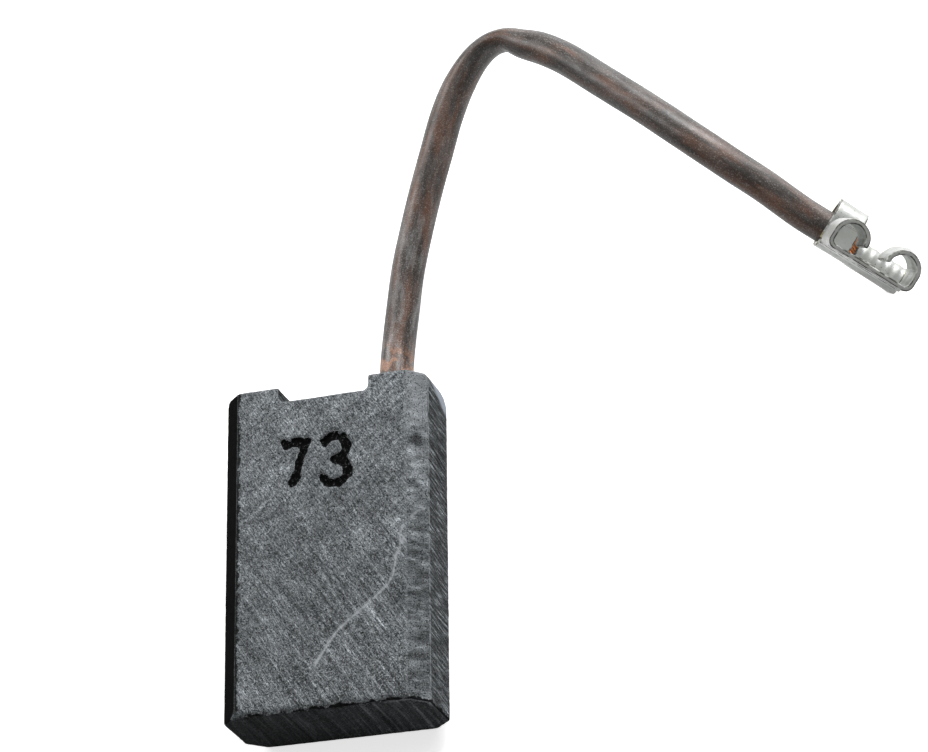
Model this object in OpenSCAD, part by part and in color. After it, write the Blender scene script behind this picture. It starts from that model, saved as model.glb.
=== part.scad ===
// Carbon brush with a sleeved copper lead and a flag receptacle.
// The block lies on its back face: +Z out of its front face, +Y towards the
// end that the lead leaves by, -Y out of the run face. Origin at the middle of
// the back face. All sizes in millimetres.

/* [Carbon block] */
// Width, side face to side face
block_w = 18; // [14:0.5:24]
// Thickness, back face to front face
block_t = 8; // [6:0.1:9]
// Length, run face to lead end
block_l = 29; // [20:0.1:40]
// Leg of the flat on each of the four long edges
edge_flat = 1.5; // [0.6:0.1:2]
// Width of the spring notch between the two horns
notch_w = 8; // [5:0.5:9]
// How far the notch sits to the lead's side of the middle
notch_shift = 0.15; // [0:0.05:0.5]
// Depth of the spring notch
notch_depth = 1.3; // [0.6:0.1:3]
// Radius in the notch's bottom corners
notch_fillet = 0.5; // [0.2:0.1:0.6]
// Worn radius on the horns' outer corners
horn_wear = 0.45; // [0.2:0.05:0.8]
// Worn break along the front edge of the run face, up the front
run_break_y = 0.5; // [0.2:0.05:1]
// The same break, into the run face
run_break_z = 0.35; // [0.2:0.05:0.8]
// Spread of the chip at the back corner of the lead's horn, down the side
chip_y = 1.6; // [1:0.1:3]
// The same chip, forwards from the back face
chip_z = 4; // [3:0.1:5.5]
// The same chip, across the back face
chip_x = 0.5; // [0.4:0.1:1.5]

/* [Lead hole and tamping] */
// Carbon left between the notch and the lead hole
notch_to_hole = 0.15; // [0.1:0.05:0.5]
// Depth of the lead hole
hole_depth = 10; // [6:0.5:16]
// Thickness of the tamped powder round the strand
tamping_wall = 0.25; // [0.15:0.05:0.5]
// How far the tamping stops short of the end face
tamping_recess = 0.3; // [0.1:0.05:1]
// Tamped powder under the end of the strand
tamping_floor = 1; // [0.4:0.1:2]

/* [Lead] */
// Diameter of the stranded copper lead
strand_d = 1.6; // [1.2:0.1:2]
// Wall of the insulating sleeve
sleeve_wall = 0.4; // [0.3:0.05:0.5]
// Clearance between strand and sleeve, all round
sleeve_slack = 0.15; // [0.1:0.05:0.3]
// Bare strand between the end face and the sleeve
bare_gap = 0.2; // [0.1:0.1:1]

/* [Flag receptacle] */
// Thickness of the terminal's sheet
sheet_t = 0.4; // [0.3:0.05:0.5]
// Width of the male tab
tab_w = 6.3; // [4.8:0.1:6.5]
// Thickness of the male tab
tab_t = 0.8; // [0.5:0.1:1]
// Clearance beside the tab, each side
tab_side_gap = 0.35; // [0.2:0.05:0.5]
// Clearance between the tab and the edges of the curls
tab_face_gap = 0.15; // [0.1:0.05:0.3]
// Outer width of one curl
curl_w = 3.05; // [2.6:0.05:3.3]
// Outer height of one curl
curl_h = 3; // [2.8:0.05:3.4]
// Outer radius of the bend from plate to curl
corner_r = 0.7; // [0.5:0.05:1]
// Length of the receptacle along the tab
socket_l = 7.5; // [6.5:0.1:9]
// Height of the cross slots in the plate
slot_w = 1.15; // [0.8:0.05:1.4]
// Mouth to the middle of the first slot
slot_1 = 2.4; // [2:0.1:2.8]
// Mouth to the middle of the second slot
slot_2 = 6.1; // [5.5:0.1:6.3]
// Plate left beside the ends of a slot
slot_land = 0.45; // [0.3:0.05:0.8]
// Radius of the locking dimple
dimple_r = 0.8; // [0.5:0.05:1]
// Height of the locking dimple
dimple_h = 0.2; // [0.1:0.05:0.3]
// Mouth to the straight edge of the dimple
dimple_at = 3.6; // [3.2:0.1:3.8]

/* [Wire barrel] */
// Mouth of the receptacle to the wire's axis
mouth_reach = 12; // [11:0.1:14]
// Receptacle's edge ahead of the barrel's wire end
barrel_inset = -0.1; // [-0.3:0.05:0.3]
// Step down from the plate to the barrel's floor
floor_step = 0.3; // [0.1:0.05:0.4]
// Length of that step
step_run = 0.7; // [0.4:0.1:1.2]
// Length of the grip round the sleeve
grip_l = 2.7; // [2:0.1:4]
// Clearance of the grip beside the sleeve
grip_side_gap = 0.1; // [0.05:0.05:0.2]
// Room in the grip above the sleeve
grip_head_room = 0.8; // [0.3:0.05:1]
// Bare strand between grip and crimp
barrel_gap = 0.5; // [0.4:0.1:1]
// Length of the crimp on the strand
crimp_l = 4.5; // [3:0.1:6]
// Wire's axis to the folded back edge of the crimp
crimp_back = 2.8; // [2.2:0.1:3.4]
// Gap inside the folded back edge
hem_gap = 0.1; // [0.05:0.05:0.2]
// Length of the pressed mark under the crimp
mark_l = 2.4; // [1.5:0.1:3]
// Width of the pressed mark
mark_w = 0.9; // [0.5:0.1:1.2]
// Depth of the pressed mark
mark_h = 0.12; // [0.05:0.01:0.2]
// Strand left short of the crimp's far end
strand_short = 0.3; // [0.1:0.1:1]
// Sleeve left short of the grip's inner end
sleeve_short = 0.3; // [0.1:0.1:1]

/* [Hidden] */
$fn = 48;
eps = 0.01;
cut = 5;             // overrun of a cutting solid past the face it cuts

// Lead and hole
strand_r = strand_d / 2;
hole_r = strand_r + tamping_wall;
sleeve_in = strand_r + sleeve_slack;
sleeve_out = sleeve_in + sleeve_wall;
notch_right = notch_shift + notch_w / 2;
lead_x = notch_right + notch_to_hole + hole_r;
lead_z = block_t / 2;
end_y = block_l / 2;

// Terminal frame: X from the wire's axis to the mouth, Y along the wire from
// the barrel's wire end, Z from the plate to the curls, origin on the wire's
// axis at the barrel's wire end.
terminal_turn = [-67, -58, -60];
terminal_xy = [43.6, 22.6];
socket_w = tab_w + 2 * tab_side_gap + 2 * sheet_t;
barrel_l = grip_l + barrel_gap + crimp_l;
floor_z = -sleeve_out - sheet_t;         // underside of the barrel's floor
plate_z = floor_z + floor_step;          // underside of the receptacle's plate
curl_edge_h = sheet_t + tab_t + tab_face_gap;
curl_r = curl_w / 2;
curl_mid_h = curl_h - curl_r;
grip_in = sleeve_out + grip_side_gap;
grip_out = grip_in + sheet_t;
grip_low = floor_z + grip_out;
grip_high = grip_low + grip_head_room;
crimp_in = strand_r;
crimp_out = strand_r + sheet_t;
crimp_z = floor_z + crimp_out;           // the strand's axis in the crimp
crimp_y = grip_l + barrel_gap;
hem_r = sheet_t + hem_gap / 2;
neck_x = mouth_reach - socket_l;

// Unit vectors of the terminal frame, and a point of it in the part's frame
function turned(v) =
    let (a = terminal_turn,
         p = [v.x, v.y * cos(a.x) - v.z * sin(a.x), v.y * sin(a.x) + v.z * cos(a.x)],
         q = [p.x * cos(a.y) + p.z * sin(a.y), p.y, p.z * cos(a.y) - p.x * sin(a.y)])
    [q.x * cos(a.z) - q.y * sin(a.z), q.x * sin(a.z) + q.y * cos(a.z), q.z];
// The terminal stands on the far corner of its crimp's folded back edge
terminal_foot = turned([-crimp_back + hem_r, barrel_l, floor_z + hem_r]);
terminal_at = [terminal_xy.x, terminal_xy.y, hem_rest() - terminal_foot.z];
function hem_rest() = hem_r * norm([turned([1, 0, 0]).z, turned([0, 0, 1]).z]);
function in_terminal(v) = terminal_at + turned(v);

// The lead's route. The free stretch is a list of chosen points; its two ends
// come from the block and from the terminal.
exit = [lead_x, end_y, lead_z];
free_route = [
    [5.5, 17.8, 4], [6, 21.5, 4.2], [6.6, 25.2, 4.5], [7.5, 28.7, 4.9],
    [8.6, 32.1, 5.5], [9.9, 35.4, 6.3], [11.2, 38.4, 7.2], [12.6, 40.7, 8],
    [14.4, 42.6, 8.8], [16, 43.4, 9.3], [17.5, 43.4, 9.6], [19, 42.6, 9.9],
    [20.8, 41.6, 10.3], [22.9, 40.1, 10.6], [26.3, 37, 11.1], [30.2, 33.5, 11.4],
    [34, 30, 11.4], [37, 27.5, 10.5], [39.4, 25.7, 9.3]
];
sleeve_route = concat(
    [exit + [0, bare_gap, 0]],
    free_route,
    [in_terminal([0, -2, 0]), in_terminal([0, 0, 0]), in_terminal([0, grip_l - sleeve_short, 0])]
);
strand_route = concat(
    [exit - [0, hole_depth - tamping_floor, 0], exit],
    free_route,
    [in_terminal([0, -2, 0]), in_terminal([0, 0, 0]), in_terminal([0, grip_l, 0]),
     in_terminal([0, crimp_y, crimp_z]), in_terminal([0, barrel_l - strand_short, crimp_z])]
);
cord_sides = 8;

// ---- Sweep ----

function unit(v) = v / norm(v);
function heading(path, i) =
    unit(path[min(i + 1, len(path) - 1)] - path[max(i - 1, 0)]);
function ring(path, i, r) =
    let (t = heading(path, i),
         s = unit(cross(t, [0, 0, 1])),
         u = cross(s, t))
    [for (k = [0:cord_sides - 1])
        let (a = 360 * (k + 0.5) / cord_sides)
        path[i] + r * (cos(a) * s + sin(a) * u)];
function rings(path, r) = [for (i = [0:len(path) - 1]) each ring(path, i, r)];
// Quads between ring i and ring i+1 of a tube whose points start at index at
function walls(count, at, outwards) =
    [for (i = [0:count - 2]) for (k = [0:cord_sides - 1])
        let (a = at + i * cord_sides + k,
             b = at + i * cord_sides + (k + 1) % cord_sides,
             quad = [a, b, b + cord_sides, a + cord_sides])
        outwards ? quad : [quad[3], quad[2], quad[1], quad[0]]];

module solid_cord(path, r) {
    n = cord_sides;
    last = (len(path) - 1) * n;
    polyhedron(
        points = rings(path, r),
        faces = concat(
            walls(len(path), 0, true),
            [[for (k = [0:n - 1]) n - 1 - k], [for (k = [0:n - 1]) last + k]] ),
        convexity = 6
    );
}

module hollow_cord(path, r_out, r_in) {
    n = cord_sides;
    c = len(path);
    last = (c - 1) * n;
    inner = c * n;
    polyhedron(
        points = concat(rings(path, r_out), rings(path, r_in)),
        faces = concat(
            walls(c, 0, true),
            walls(c, inner, false),
            [for (k = [0:n - 1]) let (j = (k + 1) % n) [k, inner + k, inner + j, j]],
            [for (k = [0:n - 1]) let (j = (k + 1) % n)
                [last + k, last + j, inner + last + j, inner + last + k]] ),
        convexity = 8
    );
}

// ---- Carbon block ----

// Section across the length, with the four flats
module block_section() {
    x = block_w / 2;
    f = edge_flat;
    polygon([
        [-x + f, 0], [x - f, 0], [x, f], [x, block_t - f],
        [x - f, block_t], [-x + f, block_t], [-x, block_t - f], [-x, f]
    ]);
}

// Square corner minus its round: what wear takes off a horn
module corner_wear(r) {
    difference() {
        square(r + eps);
        circle(r);
    }
}

// Front view: the notch between the horns and the worn outer corners
module block_front() {
    difference() {
        translate([-block_w / 2, -block_l / 2]) square([block_w, block_l]);
        translate([notch_shift, end_y - notch_depth]) notch_outline();
        for (side = [-1, 1])
            scale([side, 1])
                translate([block_w / 2 - horn_wear, end_y - horn_wear]) corner_wear(horn_wear);
    }
}

module notch_outline() {
    w = notch_w / 2;
    r = notch_fillet;
    translate([-w, r]) square([notch_w, notch_depth - r + cut]);
    translate([-w + r, 0]) square([notch_w - 2 * r, notch_depth]);
    for (side = [-1, 1]) translate([side * (w - r), r]) circle(r);
}

// Side view: the break along the front edge of the run face
module block_side() {
    difference() {
        translate([-block_l / 2, 0]) square([block_l, block_t]);
        translate([-block_l / 2, block_t])
            polygon([
                [-eps, eps], [run_break_y, eps], [run_break_y, 0],
                [0, -run_break_z], [-eps, -run_break_z]
            ]);
    }
}

// Flat-faced chip at the back corner of the lead's horn
module corner_chip() {
    translate([block_w / 2, end_y, 0])
        polyhedron(
            points = [[0, 0, 0], [-chip_x, 0, 0], [0, -chip_y, 0], [0, 0, chip_z]],
            faces = [[0, 1, 2], [0, 3, 1], [0, 2, 3], [1, 3, 2]]
        );
}

module carbon_block() {
    color([0.42, 0.43, 0.44])
    difference() {
        intersection() {
            translate([0, block_l / 2, 0])
                rotate([90, 0, 0]) linear_extrude(block_l) block_section();
            linear_extrude(block_t) block_front();
            translate([-block_w / 2, 0, 0])
                rotate([90, 0, 90]) linear_extrude(block_w) block_side();
        }
        corner_chip();
        translate([lead_x, end_y + eps, lead_z])
            rotate([90, 0, 0]) cylinder(r = hole_r, h = hole_depth + eps);
    }
}

// ---- Tamping and lead ----

module tamping_plug() {
    color([0.28, 0.24, 0.22])
    translate([lead_x, end_y - tamping_recess, lead_z])
        rotate([90, 0, 0])
            difference() {
                cylinder(r = hole_r, h = hole_depth - tamping_recess);
                translate([0, 0, -eps])
                    cylinder(r = strand_r, h = hole_depth - tamping_recess - tamping_floor + eps);
            }
}

module copper_strand() {
    color([0.76, 0.44, 0.27]) solid_cord(strand_route, strand_r);
}

module insulating_sleeve() {
    color([0.45, 0.4, 0.38]) hollow_cord(sleeve_route, sleeve_out, sleeve_in);
}

// ---- Flag receptacle, folded from one sheet ----

// Part of a flat ring of sheet, between two angles
module bend(r, from, to) {
    steps = 8;
    intersection() {
        difference() {
            circle(r);
            circle(r - sheet_t);
        }
        polygon(concat(
            [[0, 0]],
            [for (i = [0:steps])
                let (a = from + (to - from) * i / steps)
                2 * r * [cos(a), sin(a)]]
        ));
    }
}

// Half of the receptacle's section, from its middle to the free edge of a curl
module half_socket() {
    w = socket_w / 2;
    translate([-eps, 0]) square([w - corner_r + 2 * eps, sheet_t]);
    translate([w - corner_r, corner_r]) bend(corner_r, -90, 0);
    translate([w - sheet_t, corner_r - eps])
        square([sheet_t, curl_mid_h - corner_r + 2 * eps]);
    translate([w - curl_r, curl_mid_h]) bend(curl_r, 0, 180);
    translate([w - curl_w, curl_edge_h])
        square([sheet_t, curl_mid_h - curl_edge_h + eps]);
}

module socket_slot(at) {
    r = slot_w / 2;
    reach = socket_w / 2 - slot_land - r;
    translate([-at, 0, -cut]) {
        for (side = [-1, 1])
            translate([0, side * reach, 0]) cylinder(r = r, h = cut + sheet_t + dimple_h);
        translate([-r, -reach, 0]) cube([slot_w, 2 * reach, cut + sheet_t + dimple_h]);
    }
}

// Half-round pip that snaps into the tab's hole, pressed up from below
module half_round(r, h) {
    difference() {
        cylinder(r = r, h = h);
        translate([0, -cut, -eps]) cube([cut, 2 * cut, h + 2 * eps]);
    }
}

// Receptacle with its mouth at X = 0 and its plate's underside at Z = 0
module socket() {
    difference() {
        union() {
            translate([-socket_l, 0, 0])
                rotate([90, 0, 90])
                    linear_extrude(socket_l)
                        for (side = [-1, 1]) scale([side, 1]) half_socket();
            translate([-dimple_at, 0, sheet_t - eps]) half_round(dimple_r, dimple_h + eps);
        }
        socket_slot(slot_1);
        socket_slot(slot_2);
        translate([-dimple_at, 0, -eps]) half_round(dimple_r - sheet_t / 2, dimple_h + eps);
    }
}

// Neck and barrel floor in side view: plate, step, floor
module neck_side(to_x) {
    step_x = grip_out + step_run;
    polygon([
        [neck_x + eps, plate_z], [neck_x + eps, plate_z + sheet_t],
        [step_x, plate_z + sheet_t], [grip_out, floor_z + sheet_t],
        [to_x, floor_z + sheet_t], [to_x, floor_z],
        [grip_out, floor_z], [step_x, plate_z]
    ]);
}

// Grip in side view: the floor turns up behind the sleeve, over it and down
module grip_side() {
    translate([0, grip_low]) bend(grip_out, 180, 270);
    for (x = [-grip_out, grip_in])
        translate([x, grip_low - eps]) square([sheet_t, grip_head_room + 2 * eps]);
    translate([0, grip_high]) bend(grip_out, 0, 180);
    translate([grip_in, floor_z + 2 * sheet_t])
        square([sheet_t, grip_low - floor_z - 2 * sheet_t + eps]);
}

// Crimp in side view: the floor is folded back on itself behind the strand,
// climbs over it and is tucked down in front
module crimp_side() {
    hem_x = -crimp_back + hem_r;
    hem_top = floor_z + 2 * sheet_t + hem_gap;
    translate([hem_x, floor_z]) square([-hem_x, sheet_t]);
    translate([hem_x, floor_z + hem_r]) bend(hem_r, 90, 270);
    translate([hem_x - eps, hem_top - sheet_t])
        square([-hem_x - crimp_in + eps, sheet_t]);
    translate([0, crimp_z]) bend(crimp_out, -40, 200);
}

module pressed_mark() {
    translate([-mark_w / 2, crimp_y + (crimp_l - mark_l) / 2, floor_z - eps])
        cube([mark_w, mark_l, mark_h + eps]);
}

module along_wire(from, length) {
    translate([0, from + length, 0]) rotate([90, 0, 0]) linear_extrude(length) children();
}

module flag_terminal() {
    color([0.72, 0.73, 0.72])
    translate(terminal_at)
        rotate(terminal_turn) {
            translate([mouth_reach, barrel_inset + socket_w / 2, plate_z]) socket();
            difference() {
                union() {
                    along_wire(0, grip_l) { neck_side(0); grip_side(); }
                    along_wire(grip_l - eps, barrel_gap + 2 * eps) neck_side(-grip_out / 2);
                    along_wire(crimp_y, crimp_l) { neck_side(0); crimp_side(); }
                }
                pressed_mark();
            }
        }
}

carbon_block();
tamping_plug();
copper_strand();
insulating_sleeve();
flag_terminal();
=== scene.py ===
"""Looks of a carbon brush: worn block, sleeved copper lead and folded flag receptacle."""

import itertools
import logging
import math
from dataclasses import dataclass, field
from enum import Enum

import bmesh
import bpy
import numpy as np
from mathutils import Euler, Matrix, Vector


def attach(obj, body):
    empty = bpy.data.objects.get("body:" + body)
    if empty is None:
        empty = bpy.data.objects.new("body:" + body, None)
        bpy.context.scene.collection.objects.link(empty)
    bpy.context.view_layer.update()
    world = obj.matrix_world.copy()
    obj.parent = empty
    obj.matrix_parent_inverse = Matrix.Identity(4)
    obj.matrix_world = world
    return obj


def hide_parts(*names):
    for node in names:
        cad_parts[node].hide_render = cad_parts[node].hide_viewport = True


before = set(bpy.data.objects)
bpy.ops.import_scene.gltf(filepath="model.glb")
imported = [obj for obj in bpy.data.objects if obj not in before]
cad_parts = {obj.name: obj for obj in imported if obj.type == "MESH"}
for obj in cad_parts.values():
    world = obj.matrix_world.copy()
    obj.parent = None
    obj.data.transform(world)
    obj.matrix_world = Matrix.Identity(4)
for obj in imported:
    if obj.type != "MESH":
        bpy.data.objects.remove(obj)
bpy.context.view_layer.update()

log = logging.getLogger("carbon_brush")

MM = 0.001
TINY = 1e-9
ROOT = "root"
Socket = bpy.types.NodeSocket
Triple = tuple[float, float, float]
Colour = Triple


# ---------------------------------------------------------------- node helpers


class Kind(Enum):
    """Kinds of socket that a node group shows outside."""

    FLOAT = "NodeSocketFloat"
    INTEGER = "NodeSocketInt"
    VECTOR = "NodeSocketVector"
    GEOMETRY = "NodeSocketGeometry"
    MATERIAL = "NodeSocketMaterial"


class NodeBench:
    """A node tree with short calls that place and wire its nodes."""

    def __init__(self, tree: bpy.types.NodeTree) -> None:
        """Keep the tree that the calls work on."""
        self.tree = tree

    def feed(self, socket: Socket, value: object) -> None:
        """Link a socket to another socket, or set its own value.

        Args:
            socket: The input that is fed.
            value: An output socket, or a plain value.
        """
        if isinstance(value, Socket):
            self.tree.links.new(value, socket)
        elif isinstance(value, tuple) and socket.type == "RGBA":
            socket.default_value = (*value, 1.0)
        else:
            socket.default_value = value

    def add(self, kind: str, inputs: dict[str | int, object] | None = None,
            **settings: object) -> bpy.types.Node:
        """Place a node.

        Args:
            kind: The node's type name.
            inputs: What each input is fed, by its name or number.
            settings: Properties of the node itself.

        Returns:
            The new node.
        """
        node = self.tree.nodes.new(kind)
        for name, value in settings.items():
            setattr(node, name, value)
        for name, value in (inputs or {}).items():
            self.feed(node.inputs[name], value)
        return node

    def math(self, operation: str, a: object, b: object = 0.0, clamp: bool = False) -> Socket:
        """Place a Math node.

        Args:
            operation: The operation's name.
            a: First input.
            b: Second input.
            clamp: Whether the result is held between 0 and 1.

        Returns:
            The result.
        """
        node = self.add("ShaderNodeMath", {0: a, 1: b}, operation=operation, use_clamp=clamp)
        return node.outputs[0]

    def times(self, a: object, b: object) -> Socket:
        """Multiply two values."""
        return self.math("MULTIPLY", a, b)

    def vector(self, operation: str, a: object, b: object = (0.0, 0.0, 0.0)) -> bpy.types.Node:
        """Place a Vector Math node and return it."""
        return self.add("ShaderNodeVectorMath", {0: a, 1: b}, operation=operation)

    def weighted(self, parts: list[tuple[object, object]]) -> Socket:
        """Add values up, each times its own weight.

        Args:
            parts: Pairs of a value and its weight.

        Returns:
            The sum.
        """
        total = self.times(*parts[0])
        for value, weight in parts[1:]:
            total = self.math("ADD", total, self.times(value, weight))
        return total

    def dot(self, a: object, b: object) -> Socket:
        """Return the dot product of two vectors."""
        return self.vector("DOT_PRODUCT", a, b).outputs["Value"]

    def band(self, value: object, low: float, high: float,
             to_low: float = 0.0, to_high: float = 1.0) -> Socket:
        """Turn a value into a smooth step.

        Args:
            value: The value that is read.
            low: Where the step starts.
            high: Where it ends.
            to_low: Result at and before the start.
            to_high: Result at and past the end.

        Returns:
            The stepped value.
        """
        node = self.add(
            "ShaderNodeMapRange",
            {"Value": value, "From Min": low, "From Max": high, "To Min": to_low, "To Max": to_high},
            interpolation_type="SMOOTHSTEP",
        )
        return node.outputs["Result"]

    def noise(self, position: object, size: object, detail: float = 2.0, roughness: float = 0.5) -> Socket:
        """Place a noise of a given grain.

        Args:
            position: Where it is read, in mm.
            size: Size of its grains, in mm.
            detail: How many finer layers it has.
            roughness: How strong those layers are.

        Returns:
            The noise, about 0.5 on average.
        """
        scale = self.math("DIVIDE", 1.0, size)
        node = self.add(
            "ShaderNodeTexNoise",
            {"Vector": position, "Scale": scale, "Detail": detail, "Roughness": roughness},
        )
        return node.outputs["Fac"]

    def centred(self, position: object, size: object, detail: float = 2.0, roughness: float = 0.5) -> Socket:
        """Place a noise as noise() does, but about 0 on average."""
        return self.math("SUBTRACT", self.noise(position, size, detail, roughness), 0.5)

    def mix(self, factor: object, a: object, b: object, blend: str = "MIX") -> Socket:
        """Mix two colours.

        Args:
            factor: Share of the second colour.
            a: First colour.
            b: Second colour.
            blend: How they are mixed.

        Returns:
            The mixed colour.
        """
        node = self.add("ShaderNodeMix", data_type="RGBA", blend_type=blend, clamp_factor=True)
        self.feed(node.inputs[0], factor)
        self.feed(node.inputs[6], a)
        self.feed(node.inputs[7], b)
        return node.outputs[2]

    def lay(self, colour: object, over: object, where: object, share: object) -> Socket:
        """Lay a colour over another.

        Args:
            colour: What lies below.
            over: What is laid on it.
            where: Where it is laid, from 0 to 1.
            share: How much of it shows there.

        Returns:
            The covered colour.
        """
        return self.mix(self.times(where, share), colour, over)

    def exposed(self, colour: object, stops: object) -> Socket:
        """Make a colour brighter or darker.

        Args:
            colour: The colour.
            stops: How much brighter it gets, in doublings.

        Returns:
            The changed colour.
        """
        level = self.math("POWER", 2.0, stops)
        tone = self.add("ShaderNodeCombineXYZ", {axis: level for axis in "XYZ"}).outputs["Vector"]
        return self.mix(1.0, colour, tone, "MULTIPLY")

    def emboss(self, shader: bpy.types.Node, height: object, strength: float, depth: float) -> None:
        """Give a finish its fine relief.

        Args:
            shader: The finish's Principled shader.
            height: Height of the relief.
            strength: How strongly it shows.
            depth: How deep it is, in mm.
        """
        bump = self.add("ShaderNodeBump", {"Strength": strength, "Distance": depth * MM, "Height": height})
        self.feed(shader.inputs["Normal"], bump.outputs["Normal"])

    def mask(self, name: str) -> Socket:
        """Read one of the mesh's own masks."""
        return self.add("ShaderNodeAttribute", attribute_name=name).outputs["Fac"]

    def group(self, tree: bpy.types.NodeTree, inputs: dict[str, object]) -> bpy.types.Node:
        """Place a node group.

        Args:
            tree: The group.
            inputs: What each of its inputs is fed.

        Returns:
            The group's node.
        """
        node = self.tree.nodes.new("ShaderNodeGroup")
        node.node_tree = tree
        for name, value in inputs.items():
            self.feed(node.inputs[name], value)
        return node

    def position(self) -> Socket:
        """Read the surface's own place on the object.

        Returns:
            The place, in mm.
        """
        place = self.add("ShaderNodeTexCoord").outputs["Object"]
        scaled = self.add("ShaderNodeVectorMath", {0: place, "Scale": 1.0 / MM}, operation="SCALE")
        return scaled.outputs["Vector"]

    def normal(self) -> Socket:
        """Return the surface's own direction on the object."""
        return self.add("ShaderNodeTexCoord").outputs["Normal"]


def new_group(name: str, inputs: dict[str, tuple[Kind, object]], outputs: dict[str, Kind],
              tree_type: str = "ShaderNodeTree") -> tuple[NodeBench, bpy.types.Node, bpy.types.Node]:
    """Start a node group.

    Args:
        name: The group's name.
        inputs: Kind and usual value of each input.
        outputs: Kind of each output.
        tree_type: Shader or geometry tree.

    Returns:
        The bench that works on it, its input node and its output node.
    """
    tree = bpy.data.node_groups.new(name, tree_type)
    for label, (kind, value) in inputs.items():
        socket = tree.interface.new_socket(label, in_out="INPUT", socket_type=kind.value)
        if value is not None:
            socket.default_value = value
    for label, kind in outputs.items():
        tree.interface.new_socket(label, in_out="OUTPUT", socket_type=kind.value)
    bench = NodeBench(tree)
    return bench, bench.add("NodeGroupInput"), bench.add("NodeGroupOutput")


# ---------------------------------------------------------------- effects that finishes share


@dataclass
class Effects:
    """Shader groups that more than one finish uses, each built once."""

    grain: bpy.types.NodeTree = field(init=False)
    lines: bpy.types.NodeTree = field(init=False)
    grime: bpy.types.NodeTree = field(init=False)

    def __post_init__(self) -> None:
        """Build the groups."""
        self.grain = self.build_grain()
        self.lines = self.build_lines()
        self.grime = self.build_grime()

    @staticmethod
    def build_grain() -> bpy.types.NodeTree:
        """Build fine dark pits, pale flakes, a speckle round 0 and slow mottling.

        Returns:
            The group, with its grain size in mm.
        """
        bench, given, result = new_group(
            "pressed_grain",
            {"Position": (Kind.VECTOR, None), "Size": (Kind.FLOAT, 0.2)},
            {"Pits": Kind.FLOAT, "Flakes": Kind.FLOAT, "Mottle": Kind.FLOAT, "Speckle": Kind.FLOAT},
        )
        place, size = given.outputs["Position"], given.outputs["Size"]
        beside = bench.vector("ADD", place, (31.0, 17.0, 5.0)).outputs["Vector"]
        coarse = bench.times(size, 9.0)
        pits = bench.band(bench.noise(place, size, 3.0, 0.6), 0.46, 0.36)
        flakes = bench.band(bench.noise(beside, size, 2.0, 0.55), 0.56, 0.68)
        bench.feed(result.inputs["Pits"], pits)
        bench.feed(result.inputs["Flakes"], flakes)
        bench.feed(result.inputs["Mottle"], bench.noise(beside, coarse, 3.0, 0.55))
        other = bench.vector("ADD", beside, beside).outputs["Vector"]
        bench.feed(result.inputs["Speckle"], bench.centred(other, size, 2.0, 0.6))
        return bench.tree

    @staticmethod
    def build_lines() -> bpy.types.NodeTree:
        """Build drawn or sawn marks that run one way over a surface.

        Returns:
            The group: Along and Across are directions, Pitch and Reach are the
            width and length of a mark in mm, and Bow bends the marks.
        """
        bench, given, result = new_group(
            "drawn_lines",
            {
                "Position": (Kind.VECTOR, None),
                "Along": (Kind.VECTOR, (1.0, 0.0, 0.0)),
                "Across": (Kind.VECTOR, (0.0, 1.0, 0.0)),
                "Pitch": (Kind.FLOAT, 0.3),
                "Reach": (Kind.FLOAT, 6.0),
                "Bow": (Kind.FLOAT, 0.0),
            },
            {"Lines": Kind.FLOAT},
        )
        along = bench.dot(given.outputs["Position"], given.outputs["Along"])
        across = bench.dot(given.outputs["Position"], given.outputs["Across"])
        bent = bench.times(bench.times(along, along), given.outputs["Bow"])
        across = bench.math("ADD", across, bent)
        place = bench.add(
            "ShaderNodeCombineXYZ",
            {
                "X": bench.math("DIVIDE", along, given.outputs["Reach"]),
                "Y": bench.math("DIVIDE", across, given.outputs["Pitch"]),
            },
        )
        marks = bench.noise(place.outputs["Vector"], 1.0, 3.0, 0.65)
        bench.feed(result.inputs["Lines"], marks)
        return bench.tree

    @staticmethod
    def build_grime() -> bpy.types.NodeTree:
        """Build dark film, small spots and a broken line along edges.

        Returns:
            The group: Edge is how close an edge is, from 0 to 1.
        """
        bench, given, result = new_group(
            "handled_metal",
            {
                "Position": (Kind.VECTOR, None),
                "Edge": (Kind.FLOAT, 0.0),
                "Spot Size": (Kind.FLOAT, 0.3),
            },
            {"Film": Kind.FLOAT, "Spots": Kind.FLOAT, "Rim": Kind.FLOAT},
        )
        place = given.outputs["Position"]
        tint = bench.band(bench.noise(place, 1.6, 4.0, 0.6), 0.42, 0.68)
        spots = bench.band(bench.noise(place, given.outputs["Spot Size"], 2.0, 0.5), 0.66, 0.74)
        patchy = bench.band(bench.noise(place, 0.8, 3.0, 0.6), 0.38, 0.54)
        rim = bench.times(bench.band(given.outputs["Edge"], 0.40, 0.80), patchy)
        bench.feed(result.inputs["Film"], tint)
        bench.feed(result.inputs["Spots"], spots)
        bench.feed(result.inputs["Rim"], rim)
        return bench.tree


# ---------------------------------------------------------------- finishes


def new_material(name: str) -> tuple[bpy.types.Material, NodeBench, bpy.types.Node]:
    """Start a material.

    Args:
        name: The material's name.

    Returns:
        The material, the bench that works on it and its Principled shader.
    """
    material = bpy.data.materials.new(name)
    material.use_nodes = True
    bench = NodeBench(material.node_tree)
    shader = material.node_tree.nodes["Principled BSDF"]
    return material, bench, shader


@dataclass(frozen=True)
class Marks:
    """Saw or wear marks: how they run and follow each other, their width and length in mm, and their bow."""

    along: Triple
    across: Triple
    pitch: float
    reach: float
    bow: float = 0.0

    def placed(self, bench: NodeBench, effects: Effects, place: Socket) -> Socket:
        """Place the marks.

        Args:
            bench: The finish's bench.
            effects: The shared shader groups.
            place: The surface's place, in mm.

        Returns:
            The marks, from about 0 to 1.
        """
        return bench.group(effects.lines, {
            "Position": place, "Along": self.along, "Across": self.across,
            "Pitch": self.pitch, "Reach": self.reach, "Bow": self.bow,
        }).outputs["Lines"]


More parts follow.
